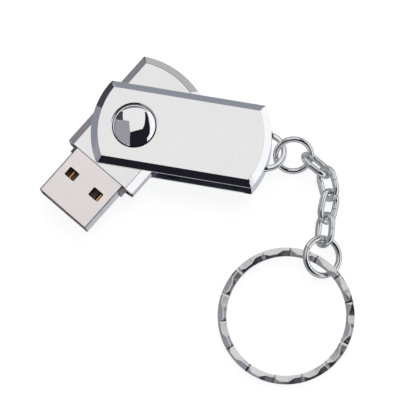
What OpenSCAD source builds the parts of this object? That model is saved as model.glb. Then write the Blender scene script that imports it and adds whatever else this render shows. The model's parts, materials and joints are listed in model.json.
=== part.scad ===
// Swivel usb flash drive with a chrome cover, a short chain and a split key ring.
// The origin is the centre of the cover's underside, +X runs along the cover towards
// its key loop, +Z points up. The drive lies flat, with its plug swung out.

/* [Cover] */
// Length of the cover between the tips of its two bowed ends
cover_l = 35.2; // [34:0.1:38]
// Width of the cover
cover_w = 16.6; // [16:0.1:18]
// Height of the cover over both plates
cover_t = 8; // [7.8:0.1:8.6]
// Thickness of each plate
plate_t = 1.1; // [1:0.05:1.2]
// Width of the bevel around the outside of each plate
bevel_w = 1.42; // [1:0.02:1.6]
// Height of that bevel
bevel_h = 0.9; // [0.6:0.05:0.95]
// How far each end bows out past its corners
end_bow = 2.4; // [1.6:0.1:3]
// Thickness of the wall that joins the two plates
end_wall_t = 1.2; // [1:0.1:1.6]
// Distance from the middle of the cover back to the swivel axis
pivot_back = 9.2; // [8.8:0.1:9.6]

/* [Key loop] */
// Radius of the loop's centre line
loop_r = 3.3; // [3.2:0.05:3.4]
// Radius of the loop's bar
loop_bar_r = 0.56; // [0.5:0.02:0.58]

/* [Swivel body] */
// Angle the body is swung out to, where 0 is closed
swing = -121; // [-180:1:180]
// Width of the body
body_w = 16.5; // [16:0.1:17]
// Thickness of the body
body_t = 5.6; // [5.5:0.05:5.7]
// Distance from the swivel axis to the front face
body_front = 10.4; // [10:0.1:11]
// Distance from the swivel axis to the two rear corners
body_rear = 12; // [11.5:0.1:12.5]
// Radius of the bowed rear edge
rear_r = 16.9; // [15.5:0.1:18]
// Width of the bevel along the sides and the rear
body_bevel_w = 1.5; // [1.2:0.05:1.6]
// Height of that bevel
body_bevel_h = 1.4; // [1.2:0.05:1.5]
// Thickness of the shells' walls
shell_wall = 0.8; // [0.7:0.05:0.9]

/* [Plug] */
// Width of the plug
plug_w = 12; // [11.9:0.05:12.1]
// Thickness of the plug
plug_t = 4.5; // [4.45:0.01:4.5]
// How far the plug stands out of the body
plug_reach = 10.8; // [10.5:0.1:11.5]
// Thickness of the plug's sheet metal
plug_wall = 0.3; // [0.25:0.01:0.32]
// Outer radius of the plug's four long edges
plug_edge_r = 0.45; // [0.35:0.05:0.6]
// Distance between the centres of the two latch windows
window_gap = 6.2; // [6:0.1:7]
// Width of a latch window
window_w = 2.4; // [2:0.1:2.6]
// Length of a latch window
window_l = 1.95; // [1.6:0.05:2.3]
// Distance from the plug's mouth to the middle of the windows
window_back = 6.3; // [6:0.1:6.6]

/* [Pivot] */
// Radius of the domed head
dome_r = 4.1; // [3.9:0.05:4.2]
// Height of the dome over its rim
dome_h = 1.4; // [1:0.1:1.8]
// Radius of the shank that passes through the cover
shank_r = 2.6; // [2.4:0.05:2.8]
// Radius of the flat head on the underside
foot_r = 3.5; // [3.3:0.05:3.8]
// Depth of the seat that each head lies in
seat_depth = 0.55; // [0.5:0.01:0.6]

/* [Chain] */
// Radius of the centre line of the jump ring on the key loop
jump_r = 3.45; // [3.4:0.05:3.5]
// Radius of its wire
jump_wire_r = 0.55; // [0.5:0.01:0.55]
// Length of the straight sides of a link
link_straight = 2; // [1.9:0.05:2.1]
// Radius of the centre line of a link's round ends
link_r = 2.02; // [2:0.02:2.06]
// Radius of a link's wire
link_wire_r = 0.6; // [0.55:0.01:0.6]
// Radius of the centre line of the jump ring on the split ring
end_jump_r = 3.62; // [3.6:0.02:3.66]
// Radius of its wire
end_jump_wire_r = 0.57; // [0.5:0.01:0.57]

/* [Split ring] */
// Outer radius of the split ring
split_r = 13.2; // [13:0.1:13.4]
// Width of its flat wire
split_w = 1.6; // [1.4:0.1:1.7]
// Thickness of its flat wire
split_t = 0.72; // [0.6:0.02:0.74]
// Width of the cut along the wire's edges
split_cut = 0.22; // [0.1:0.02:0.3]
// Direction, seen from the ring's centre, in which its wire steps from one turn to the next
step_at = 21; // [0:1:45]

/* [Hidden] */
$fn = 96;
eps = 0.01;

// Everything that swings is modelled around the swivel axis, at mid height
mid_z = cover_t / 2;
pivot_x = -pivot_back;

// Cover
end_r = (pow(end_bow, 2) + pow(cover_w / 2, 2)) / (2 * end_bow);
end_centre_x = cover_l / 2 - end_r;
loop_x = cover_l / 2 - 0.7;
shank_gap = 0.06;
head_gap = 0.15;
rim_cut_w = 0.3;
rim_cut_h = 0.3;

// Swivel body
rear_centre_x = -body_rear + sqrt(pow(rear_r, 2) - pow(body_w / 2, 2));
body_hi = body_t / 2;
inner_hi = body_hi - shell_wall;
front_wall = 1;
slot_hi = plug_t / 2 + 0.02;
slot_half_w = plug_w / 2 + 0.4;
seam_gap = 0.03;

// Friction washers, half sunk in the shells
washer_r = 4.2;
washer_t = 0.28;
washer_gap = 0.04;
plate_gap = mid_z - plate_t - body_hi;
washer_seat = washer_t + washer_gap - plate_gap;

// Pivot
dome_sphere_r = (pow(dome_r, 2) + pow(dome_h, 2)) / (2 * dome_h);
rim_t = 0.3;
shank_end = inner_hi - 0.3;
retainer_t = 0.2;
retainer_r = 3.4;

// Plug
plug_tip = body_front + plug_reach;
plug_l = 17;
plug_back = plug_tip - plug_l;
plug_inner_hi = plug_t / 2 - plug_wall;
plug_inner_w = plug_w - 2 * plug_wall;
tongue_back = 9.2;
tongue_inset = 0.3;
contact_w = 1;
contact_t = 0.2;
contact_ys = [-3.5, -1, 1, 3.5];
contact_start = 2.6;

// Circuit board: its top face carries the contacts' tails
board_top = -0.05;
board_t = 0.8;
board_w = 12.8;
board_rear = -10.3;
board_front = plug_back - 0.1;
tongue_top = board_top + 0.1;
fit_gap = 0.03;

// Carrier
rail_in = plug_w / 2 + fit_gap;
rail_out = 6.9;
rail_hi = 1.45;
carrier_rear = -11.1;
cheek_out = 6.35;
cheek_reach = 1.3;

// Where each piece of the chain hooks into the next, starting on the key loop
hooks = [
    [19.1, 0.3, 4.2],
    [25.0, 0.2, 3.0],
    [28.6, -1.7, 2.3],
    [30.5, -6.1, 2.3],
    [30.3, -10.6, 2.3],
    [30.7, -15.5, 2.5],
    [31.1, -21.2, 2.1],
];
// How far each of those pieces is rolled over from lying flat
rolls = [37, -57, 51, -51, 51, -27];
// The split ring leans on the last jump ring
split_centre = [25.9, -30.8, 1.76];
split_lean = 3;
coil_gap = 0.04;
step_angle = 24;

// ---- shared shapes ----

// A box given by its lowest and highest corners
module slab(low, high) {
    translate(low) cube(high - low);
}

// A disc whose upper edge is bevelled
module bevelled_disc(r, t, cut_w, cut_h) {
    cylinder(h = t - cut_h, r = r);
    translate([0, 0, t - cut_h]) cylinder(h = cut_h, r1 = r, r2 = r - cut_w);
}

// A bar along X whose two long upper edges are bevelled
module bevelled_bar(low_x, high_x, w, t, cut_w, cut_h) {
    section = [
        [-w / 2, 0], [w / 2, 0], [w / 2, t - cut_h],
        [w / 2 - cut_w, t], [-w / 2 + cut_w, t], [-w / 2, t - cut_h],
    ];
    translate([low_x, 0, 0])
        rotate([90, 0, 90])
            linear_extrude(high_x - low_x) polygon(section);
}

module tube_ring(r, wire_r) {
    rotate_extrude() translate([r, 0]) circle(wire_r);
}

// Moves a part from the swivel axis to where the body is swung
module in_body() {
    translate([pivot_x, 0, mid_z]) rotate(swing) children();
}

// The same shape on both faces of the swivel body
module both_faces() {
    children();
    mirror([0, 0, 1]) children();
}

// ---- cover ----

// One plate, standing on its inner face
module cover_plate() {
    intersection() {
        bevelled_bar(-cover_l / 2, cover_l / 2, cover_w, plate_t, bevel_w, bevel_h);
        union() {
            translate([end_centre_x, 0, 0]) bevelled_disc(end_r, plate_t, bevel_w, bevel_h);
            translate([-end_centre_x, 0, 0]) bevelled_disc(end_r, plate_t, bevel_w, bevel_h);
            slab([-end_centre_x, -cover_w, 0], [end_centre_x, cover_w, plate_t]);
        }
    }
}

module cover_end_wall() {
    intersection() {
        translate([end_centre_x, 0, plate_t - eps])
            difference() {
                cylinder(h = cover_t - 2 * plate_t + 2 * eps, r = end_r);
                translate([0, 0, -1]) cylinder(h = cover_t, r = end_r - end_wall_t);
            }
        slab([end_centre_x, -cover_w / 2, 0], [cover_l, cover_w / 2, cover_t]);
    }
}

// Half of the ring stands out of the end wall, the rest is kept inside the wall
module key_loop() {
    intersection() {
        translate([loop_x, 0, mid_z]) tube_ring(loop_r, loop_bar_r);
        slab([loop_x - 0.2, -cover_w, 0], [cover_l, cover_w, cover_t]);
    }
}

module dome_seat() {
    translate([pivot_x, 0, cover_t - seat_depth]) cylinder(h = 1, r = dome_r + head_gap);
    translate([pivot_x, 0, cover_t - rim_cut_h])
        cylinder(h = rim_cut_h + eps, r1 = dome_r + head_gap, r2 = dome_r + head_gap + rim_cut_w);
}

module foot_seat() {
    translate([pivot_x, 0, -1]) cylinder(h = 1 + seat_depth, r = foot_r + head_gap);
}

module shank_hole() {
    translate([pivot_x, 0, -1]) cylinder(h = cover_t + 2, r = shank_r + shank_gap);
}

module swivel_cover() {
    color("gainsboro")
        difference() {
            union() {
                translate([0, 0, cover_t - plate_t]) cover_plate();
                translate([0, 0, plate_t]) mirror([0, 0, 1]) cover_plate();
                cover_end_wall();
                key_loop();
            }
            dome_seat();
            foot_seat();
            shank_hole();
        }
}

// ---- swivel body ----

// Upper half of the body's outer shape, standing on mid height
module body_half(w, hi, front, rear_radius, cut_w, cut_h) {
    intersection() {
        bevelled_bar(rear_centre_x - rear_radius, front, w, hi, cut_w, cut_h);
        union() {
            translate([rear_centre_x, 0, 0]) bevelled_disc(rear_radius, hi, cut_w, cut_h);
            slab([rear_centre_x, -w, 0], [front, w, hi]);
        }
    }
}

// Room for the plug and the carrier's cheeks, out through the front wall
module front_slot() {
    slab([plug_back - 0.3, -slot_half_w, -slot_hi], [body_front + 1, slot_half_w, slot_hi]);
}

module shell_half() {
    difference() {
        body_half(body_w, body_hi, body_front, rear_r, body_bevel_w, body_bevel_h);
        translate([0, 0, -eps])
            body_half(
                body_w - 2 * shell_wall, inner_hi + eps, body_front - front_wall,
                rear_r - shell_wall, body_bevel_w - 0.3, body_bevel_h - 0.3
            );
        front_slot();
        translate([0, 0, body_hi - washer_seat]) cylinder(h = 1, r = washer_r + 0.1);
        cylinder(h = cover_t, r = shank_r);
    }
}

module upper_shell() {
    in_body()
        color("lightgray")
            intersection() {
                shell_half();
                slab([-20, -20, seam_gap / 2], [20, 20, body_t]);
            }
}

module lower_shell() {
    in_body()
        color("lightgray")
            mirror([0, 0, 1])
                intersection() {
                    shell_half();
                    slab([-20, -20, seam_gap / 2], [20, 20, body_t]);
                }
}

// ---- pivot ----

// Chrome stud with a domed head, pressed into the upper shell
module dome_stud() {
    head_low = mid_z - seat_depth + 0.03;
    in_body()
        color("white") {
            translate([0, 0, head_low]) cylinder(h = rim_t, r = dome_r);
            intersection() {
                translate([0, 0, head_low + rim_t + dome_h - dome_sphere_r]) sphere(dome_sphere_r);
                translate([0, 0, head_low + rim_t - eps]) cylinder(h = dome_h + 1, r = dome_r);
            }
            translate([0, 0, shank_end]) cylinder(h = head_low - shank_end + eps, r = shank_r);
        }
}

// Flat stud, flush with the cover's underside and pressed into the lower shell
module foot_stud() {
    head_t = seat_depth - 0.1;
    in_body()
        color("silver")
            mirror([0, 0, 1]) {
                translate([0, 0, mid_z - head_t - 0.05]) cylinder(h = head_t, r = foot_r);
                translate([0, 0, shank_end]) cylinder(h = mid_z - shank_end - 0.1, r = shank_r);
            }
}

module friction_washers() {
    in_body()
        color("dimgray")
            both_faces()
                translate([0, 0, body_hi - washer_seat])
                    difference() {
                        cylinder(h = washer_t, r = washer_r);
                        translate([0, 0, -1]) cylinder(h = 3, r = shank_r + 0.05);
                    }
}

module stud_retainers() {
    in_body()
        color("slategray")
            both_faces()
                translate([0, 0, inner_hi - retainer_t])
                    difference() {
                        cylinder(h = retainer_t, r = retainer_r);
                        translate([0, 0, -1]) cylinder(h = 3, r = shank_r);
                    }
}

// ---- inside the body ----

// A side rail that holds the board's edge and ends in a cheek beside the plug's root
module rail() {
    slab([carrier_rear, rail_in, -rail_hi], [body_front - front_wall - 0.1, rail_out, rail_hi]);
    slab([plug_back, rail_in, -plug_t / 2], [body_front + cheek_reach, cheek_out, plug_t / 2]);
}

// The board and the room around it
module board_space() {
    half_w = board_w / 2 + fit_gap;
    slab(
        [board_rear - fit_gap, -half_w, board_top - board_t - fit_gap],
        [board_front + fit_gap, half_w, board_top + fit_gap]
    );
}

module carrier() {
    in_body()
        color("dimgray")
            difference() {
                union() {
                    rail();
                    mirror([0, 1, 0]) rail();
                    slab([carrier_rear, -rail_out, -rail_hi], [board_rear - 0.1, rail_out, rail_hi]);
                }
                board_space();
            }
}

module circuit_board() {
    in_body()
        color("darkgreen")
            slab([board_rear, -board_w / 2, board_top - board_t], [board_front, board_w / 2, board_top]);
}

// A part that lies on the board's top face, given by its centre and size
module on_board(x, y, l, w, t) {
    translate([x - l / 2, y - w / 2, board_top]) cube([l, w, t]);
}

// A part that hangs under the board
module under_board(x, y, l, w, t) {
    translate([x - l / 2, y - w / 2, board_top - board_t - t]) cube([l, w, t]);
}

module controller_chip() {
    in_body() color("black") on_board(-0.5, 0, 4.8, 4.8, 0.85);
}

module memory_chip() {
    in_body() color("black") on_board(-6.7, 0, 6.8, 11, 1);
}

module crystal() {
    in_body() color("silver") on_board(-0.4, 4.5, 3.2, 2.5, 0.8);
}

module capacitors() {
    in_body()
        color("tan") {
            for (x = [-2.4, 0, 2.4]) on_board(x, -4.6, 1, 0.5, 0.5);
            for (y = [-4, 0, 4]) under_board(-7, y, 1.6, 0.8, 0.5);
        }
}

module resistors() {
    in_body()
        color("black") {
            for (x = [-2.4, 0, 2.4]) on_board(x, -5.5, 1, 0.5, 0.35);
            for (y = [-4, 4]) under_board(-3.6, y, 1, 0.5, 0.35);
        }
}

// A bead of solder at the end of each contact's tail
module solder_joints() {
    in_body()
        color("silver")
            for (y = contact_ys)
                slab(
                    [contact_start - 0.5, y - contact_w / 2, board_top],
                    [contact_start, y + contact_w / 2, board_top + contact_t]
                );
}

// ---- plug ----

// Cross section of the plug, across the width and the height
module plug_section(w, t, r) {
    square([w - 2 * r, t], center = true);
    square([w, t - 2 * r], center = true);
    for (sx = [-1, 1], sy = [-1, 1])
        translate([sx * (w / 2 - r), sy * (t / 2 - r)]) circle(r);
}

// A length of that section along X
module plug_bar(low_x, high_x, w, t, r) {
    translate([low_x, 0, 0]) rotate([90, 0, 90]) linear_extrude(high_x - low_x) plug_section(w, t, r);
}

module latch_windows() {
    for (side = [-1, 1])
        translate([plug_tip - window_back, side * window_gap / 2, 0])
            cube([window_l, window_w, plug_t + 1], center = true);
}

module plug_shell() {
    in_body()
        color("whitesmoke")
            difference() {
                plug_bar(plug_back, plug_tip, plug_w, plug_t, plug_edge_r);
                plug_bar(
                    plug_back - 1, plug_tip + 1, plug_inner_w, 2 * plug_inner_hi,
                    plug_edge_r - plug_wall
                );
                latch_windows();
            }
}

// A block at the back of the plug, and the tongue that carries the contacts
module plug_insulator() {
    half_w = plug_inner_w / 2 - 0.17;
    low = -plug_inner_hi + 0.02;
    in_body()
        color("black")
            difference() {
                union() {
                    slab([plug_back, -half_w, low], [tongue_back, half_w, -low]);
                    slab([tongue_back - eps, -half_w, low], [plug_tip - tongue_inset, half_w, tongue_top]);
                }
                for (y = contact_ys) contact_groove(y);
            }
}

module contact_groove(y) {
    half_w = contact_w / 2 + fit_gap;
    slab(
        [0, y - half_w, board_top - fit_gap],
        [plug_tip - 0.9, y + half_w, board_top + contact_t + fit_gap]
    );
}

module plug_contacts() {
    in_body()
        color("gold")
            for (y = contact_ys)
                slab(
                    [contact_start, y - contact_w / 2, board_top],
                    [plug_tip - 1, y + contact_w / 2, board_top + contact_t]
                );
}

// ---- chain ----

// Lays a piece of the chain between two hooks, rolled about the line that joins them
module between_hooks(i) {
    run = hooks[i + 1] - hooks[i];
    translate((hooks[i] + hooks[i + 1]) / 2)
        rotate([0, 0, atan2(run.y, run.x)])
            rotate([0, -asin(run.z / norm(run)), 0])
                rotate([rolls[i], 0, 0])
                    children();
}

module link() {
    for (side = [-1, 1]) {
        translate([-link_straight / 2, side * link_r, 0])
            rotate([0, 90, 0]) cylinder(h = link_straight, r = link_wire_r);
        rotate(side * 90)
            translate([0, -link_straight / 2, 0])
                rotate_extrude(angle = -180) translate([link_r, 0]) circle(link_wire_r);
    }
}

module loop_jump_ring() {
    color("silver") between_hooks(0) tube_ring(jump_r, jump_wire_r);
}

module chain_link(i) {
    color("silver") between_hooks(i) link();
}

module end_jump_ring() {
    color("silver") between_hooks(5) tube_ring(end_jump_r, end_jump_wire_r);
}

// ---- split ring ----

// Flat wire with its four edges cut off
module flat_wire() {
    half_w = split_w / 2;
    half_t = split_t / 2;
    polygon([
        [-half_w + split_cut, -half_t], [half_w - split_cut, -half_t], [half_w, -half_t + split_cut],
        [half_w, half_t - split_cut], [half_w - split_cut, half_t], [-half_w + split_cut, half_t],
        [-half_w, half_t - split_cut], [-half_w, -half_t + split_cut],
    ]);
}

module wire_arc(start, turn) {
    rotate(start)
        rotate_extrude(angle = turn) translate([split_r - split_w / 2, 0]) flat_wire();
}

// Two turns, and the stretch that steps from the lower one up to the upper one
module split_ring() {
    rise = split_t + coil_gap;
    mean_r = split_r - split_w / 2;
    slope = atan(rise / (mean_r * step_angle * PI / 180));
    color("silver")
        translate(split_centre)
            rotate([0, -split_lean, 0])
                rotate([split_lean, 0, 0])
                    rotate(step_at) {
                        translate([0, 0, -rise / 2]) wire_arc(step_angle / 2, 360 - step_angle);
                        translate([0, 0, rise / 2]) wire_arc(step_angle / 2, 360 - step_angle);
                        rotate([slope, 0, 0]) wire_arc(-step_angle / 2 - 0.5, step_angle + 1);
                    }
}

swivel_cover();
upper_shell();
lower_shell();
dome_stud();
foot_stud();
friction_washers();
stud_retainers();
carrier();
circuit_board();
controller_chip();
memory_chip();
crystal();
capacitors();
resistors();
solder_joints();
plug_shell();
plug_insulator();
plug_contacts();
loop_jump_ring();
chain_link(1);  // chain_link_1
chain_link(2);  // chain_link_2
chain_link(3);  // chain_link_3
chain_link(4);  // chain_link_4
end_jump_ring();
split_ring();
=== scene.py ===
"""Looks of the swivel usb flash drive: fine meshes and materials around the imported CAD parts.

Meshes are built in millimetres, in the frame of the piece that they belong to, and are scaled
to metres when they are put in place.
"""

import json
import math

import bmesh
import bpy
import numpy as np
from mathutils import Matrix, Vector


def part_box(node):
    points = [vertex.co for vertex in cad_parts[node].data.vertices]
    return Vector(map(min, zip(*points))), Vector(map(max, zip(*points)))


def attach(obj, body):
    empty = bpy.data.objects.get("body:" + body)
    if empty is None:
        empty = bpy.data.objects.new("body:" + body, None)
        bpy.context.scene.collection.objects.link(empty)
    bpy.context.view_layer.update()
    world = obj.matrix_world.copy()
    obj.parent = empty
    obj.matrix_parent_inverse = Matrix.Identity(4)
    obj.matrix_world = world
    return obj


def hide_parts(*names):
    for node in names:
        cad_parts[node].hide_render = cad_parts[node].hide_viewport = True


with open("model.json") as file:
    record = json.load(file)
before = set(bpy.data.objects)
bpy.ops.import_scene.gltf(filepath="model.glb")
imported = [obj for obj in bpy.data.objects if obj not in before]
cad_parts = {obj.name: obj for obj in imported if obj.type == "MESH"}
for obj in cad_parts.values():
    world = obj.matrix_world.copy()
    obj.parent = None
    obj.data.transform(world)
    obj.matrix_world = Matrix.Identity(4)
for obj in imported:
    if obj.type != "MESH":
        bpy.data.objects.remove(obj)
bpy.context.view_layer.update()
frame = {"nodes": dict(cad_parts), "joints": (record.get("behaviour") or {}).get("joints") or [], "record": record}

MM = 0.001
TURN = 2 * math.pi
record = frame["record"]
joints = {j["name"]: j for j in frame["joints"]}
mounts = {m["name"]: m for m in record["mounts"]}
slot_of = {s["node"]: s["material_slot"] for s in record["subparts"]}
body_with = {n: b for b, nodes in record["behaviour"]["bodies"].items() for n in nodes}


# ---- places and sizes taken from the frame ----

def local_box(node, place):
    """Lowest and highest corner of a CAD node in the frame of place, in millimetres."""
    back = place.inverted()
    points = np.array([back @ v.co for v in frame["nodes"][node].data.vertices]) / MM
    return Vector(points.min(0)), Vector(points.max(0))


def island_boxes(node, place):
    """The same for each separate solid of a node, in the order of their places."""
    bm = bmesh.new()
    bm.from_mesh(frame["nodes"][node].data)
    bmesh.ops.remove_doubles(bm, verts=bm.verts, dist=1e-7)
    bm.transform(Matrix.Scale(1 / MM, 4) @ place.inverted())
    left = set(bm.verts)
    boxes = []
    while left:
        found = {left.pop()}
        waiting = list(found)
        while waiting:
            here = waiting.pop()
            for line in here.link_edges:
                there = line.other_vert(here)
                if there in left:
                    left.remove(there)
                    found.add(there)
                    waiting.append(there)
        points = np.array([v.co for v in found])
        boxes.append((Vector(points.min(0)), Vector(points.max(0))))
    bm.free()
    return sorted(boxes, key=lambda box: tuple(round(c, 3) for c in box[0]))


PIVOT = Vector(joints["drive_swivel"]["pos_m"])
# The swivel's axis in plan, in millimetres
SWIVEL_AT = (PIVOT.x / MM, PIVOT.y / MM)
PLUG_WAY = Vector(mounts["usb_plug"]["axis"])
# The cover's frame is the row's own. The drive's has +X out of the plug, and its origin on the
# swivel's axis at mid height.
COVER = Matrix.Identity(4)
DRIVE = Matrix.Translation(PIVOT) @ Matrix.Rotation(math.atan2(PLUG_WAY.y, PLUG_WAY.x), 4, "Z")

COVER_LOW, COVER_HIGH = local_box("swivel_cover", COVER)
SHELL_LOW, SHELL_HIGH = local_box("upper_shell", DRIVE)
PLUG_LOW, PLUG_HIGH = local_box("plug_shell", DRIVE)
DOME_LOW, DOME_HIGH = local_box("dome_stud", DRIVE)
FOOT_LOW, FOOT_HIGH = local_box("foot_stud", DRIVE)


# ---- camera ----

# The photograph's camera: its right and up directions, what it looks at, how far away it is,
# and its focal length and sensor width in millimetres
CAMERA_RIGHT = Vector((0.98342, 0.17624, -0.04215))
CAMERA_UP = Vector((-0.16498, 0.96699, 0.19407))
CAMERA_BACK = CAMERA_RIGHT.cross(CAMERA_UP).normalized()
CAMERA_TARGET = Vector((5.70, -11.63, 4.0)) * MM
CAMERA_DISTANCE = 416.4 * MM
CAMERA_LENS = 193.1
CAMERA_SENSOR = 36


def make_camera():
    data = bpy.data.cameras.new("camera")
    data.lens = CAMERA_LENS
    data.sensor_width = CAMERA_SENSOR
    data.clip_start = 0.01
    data.clip_end = 10
    camera = bpy.data.objects.new("camera", data)
    axes = Matrix((CAMERA_RIGHT, CAMERA_UP, CAMERA_BACK)).transposed()
    place = Matrix.Translation(CAMERA_TARGET + CAMERA_BACK * CAMERA_DISTANCE)
    camera.matrix_world = place @ axes.to_4x4()
    bpy.context.scene.collection.objects.link(camera)
    bpy.context.scene.camera = camera


# ---- studio ----

def toward(azimuth, elevation):
    """The direction at an azimuth and an elevation in degrees."""
    a, e = math.radians(azimuth), math.radians(elevation)
    return Vector((math.cos(a) * math.cos(e), math.sin(a) * math.cos(e), math.sin(e)))


# What the polished metal mirrors: convex patches of the room around the object, where the
# fields that the photograph shows on the dome and the bevels need them. Each is given by its
# corners (azimuth and elevation in degrees, clockwise as seen from the object) and its colour.
# Later patches lie over earlier ones.
ROOM_LIGHT = (0.86, 0.855, 0.855)
DARK = (0.014, 0.013, 0.020)
SHELF_LOW = 8.5
ROOM_PATCHES = {
    "ground": ([(0, 0), (-90, 0), (180, 0), (90, 0)], (0.40, 0.41, 0.44)),
    "ground_beside": ([(112, -60), (40, -60), (-32, -60), (-32, -88), (112, -88)], (0.53, 0.56, 0.62)),
    "ground_before": (
        [(-36, -60), (-75, -60), (-130, -60), (172, -60), (172, -88), (-36, -88)],
        DARK,
    ),
    "window": (
        [(70, 19), (36, 38), (-8, 35), (-32, 30), (-36, -6), (58, -6), (70, 4)],
        (1.02, 1.02, 1.05),
    ),
    "far_wall": ([(57, 4), (58, -30), (95, -34), (128, -30), (128, 4), (95, 4)], (0.49, 0.49, 0.50)),
    "far_corner": ([(126, 4), (126, -30), (168, -30), (168, 4)], (0.24, 0.235, 0.26)),
    "far_gap": (
        [(62, SHELF_LOW), (60, 3), (80, 3), (100, 3), (120, 3), (136, 3), (134, SHELF_LOW)],
        (0.03, 0.03, 0.035),
    ),
    "far_shelf": (
        [(66, 15), (64, SHELF_LOW), (85, SHELF_LOW), (110, SHELF_LOW), (132, SHELF_LOW),
         (132, 14), (110, 15.5), (85, 16)],
        (0.28, 0.295, 0.345),
    ),
    "left_doorway": ([(161, 45), (151.5, 39), (134, 16), (136, 6), (160, 6)], (0.06, 0.058, 0.072)),
    "left_wall": (
        [(158.5, 30), (158.5, 1), (-150, -4), (-106, 2), (-106, 30), (-150, 36)],
        (0.26, 0.28, 0.335),
    ),
    "left_wall_top": (
        [(138.5, 60), (159, 26), (179, 20.5), (-130, 20), (-99, 28), (-128, 69)],
        (0.33, 0.32, 0.36),
    ),
    "camera_side": ([(-128, 69), (-99, 28), (-97, 22), (-42, 20), (-31, 32), (3, 65.5)], DARK),
    "right_frame_low": ([(28.5, 57.5), (1, 65), (-36, 35), (-8, 36), (38.5, 37)], DARK),
    "right_frame_high": ([(74.5, 20.5), (26, 58), (36, 38), (69.5, 19)], DARK),
}
# Half the width of the soft edge between two patches, as the sine of an angle
PATCH_EDGE = 0.010


def patch_depth(tree, way, corners):
    """How deep a direction lies in a patch: its least depth behind the patch's sides."""
    points = [toward(*corner) for corner in corners]
    depths = []
    for here, there in zip(points, points[1:] + points[:1]):
        side = tree.nodes.new("ShaderNodeVectorMath")
        side.operation = "DOT_PRODUCT"
        side.inputs[1].default_value = here.cross(there).normalized()
        tree.links.new(way, side.inputs[0])
        depths.append(side.outputs["Value"])
    least = depths[0]
    for depth in depths[1:]:
        lesser = tree.nodes.new("ShaderNodeMath")
        lesser.operation = "MINIMUM"
        tree.links.new(least, lesser.inputs[0])
        tree.links.new(depth, lesser.inputs[1])
        least = lesser.outputs["Value"]
    return least


def make_world():
    """The mirrored room. The camera itself sees plain white in its place."""
    world = bpy.data.worlds.new("studio")
    world.use_nodes = True
    bpy.context.scene.world = world
    tree = world.node_tree
    tree.nodes.clear()
    add, link = tree.nodes.new, tree.links.new
    way = add("ShaderNodeTexCoord")
    colour = add("ShaderNodeRGB").outputs["Color"]
    colour.default_value = (*ROOM_LIGHT, 1)
    for corners, patch_colour in ROOM_PATCHES.values():
        inside = add("ShaderNodeMapRange")
        inside.interpolation_type = "SMOOTHSTEP"
        inside.inputs["From Min"].default_value = -PATCH_EDGE
        inside.inputs["From Max"].default_value = PATCH_EDGE
        link(patch_depth(tree, way.outputs["Generated"], corners), inside.inputs["Value"])
        mix = add("ShaderNodeMixRGB")
        link(inside.outputs["Result"], mix.inputs["Fac"])
        link(colour, mix.inputs["Color1"])
        mix.inputs["Color2"].default_value = (*patch_colour, 1)
        colour = mix.outputs["Color"]
    studio = add("ShaderNodeBackground")
    link(colour, studio.inputs["Color"])
    plain = add("ShaderNodeBackground")
    plain.inputs["Color"].default_value = (1, 1, 1, 1)
    seen = add("ShaderNodeLightPath")
    both = add("ShaderNodeMixShader")
    link(seen.outputs["Is Camera Ray"], both.inputs["Fac"])
    link(studio.outputs["Background"], both.inputs[1])
    link(plain.outputs["Background"], both.inputs[2])
    out = add("ShaderNodeOutputWorld")
    link(both.outputs["Shader"], out.inputs["Surface"])


# The soft boxes overhead: azimuth and elevation in degrees, and power in watts
SOFT_BOXES = {"key_light": (60, 70, 0.10), "fill_light": (-160, 55, 0.05)}
SOFT_BOX_SIZE = 0.5
SOFT_BOX_AWAY = 0.6


def make_lights():
    """Two large soft boxes, kept out of the mirrored room."""
    for name, (azimuth, elevation, power) in SOFT_BOXES.items():
        data = bpy.data.lights.new(name, "AREA")
        data.shape = "DISK"
        data.size = SOFT_BOX_SIZE
        data.energy = power
        light = bpy.data.objects.new(name, data)
        way = toward(azimuth, elevation)
        light.location = way * SOFT_BOX_AWAY
        light.rotation_mode = "QUATERNION"
        light.rotation_quaternion = way.to_track_quat("Z", "Y")
        light.visible_glossy = False
        bpy.context.scene.collection.objects.link(light)


FLOOR_R = 2.0
FLOOR_DROP = 0.02 * MM
FLOOR_GREY = 0.5
FLOOR_GLOW = 0.80


def make_floor():
    """A wide pale floor, a hair below the object. The room's ground stands for it in the metal."""
    material = bpy.data.materials.new("floor_paper")
    material.use_nodes = True
    shader = material.node_tree.nodes["Principled BSDF"]
    shader.inputs["Base Color"].default_value = (FLOOR_GREY, FLOOR_GREY, FLOOR_GREY, 1)
    shader.inputs["Roughness"].default_value = 0.9
    shader.inputs["Specular IOR Level"].default_value = 0.0
    shader.inputs["Emission Color"].default_value = (1, 1, 1, 1)
    shader.inputs["Emission Strength"].default_value = FLOOR_GLOW
    mesh = bpy.data.meshes.new("floor")
    bm = bmesh.new()
    bmesh.ops.create_circle(bm, cap_ends=True, segments=ROUND_SIDES, radius=FLOOR_R)
    bm.to_mesh(mesh)
    bm.free()
    mesh.materials.append(material)
    floor = bpy.data.objects.new("floor", mesh)
    floor.location = (CAMERA_TARGET.x, CAMERA_TARGET.y, -FLOOR_DROP)
    floor.visible_glossy = False
    bpy.context.scene.collection.objects.link(floor)


# ---- materials ----

# The surface patterns: their scales, in features a metre, and how deep the bumps are
CLOUD_SCALE = 180
HAIR_SCALE = 900
SPOT_SCALE = 1500
STAIN_SCALE = 400
GRAIN_SCALE = 2500
HAIR_DEPTH = 0.002 * MM
GRAIN_DEPTH = 0.01 * MM


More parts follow.
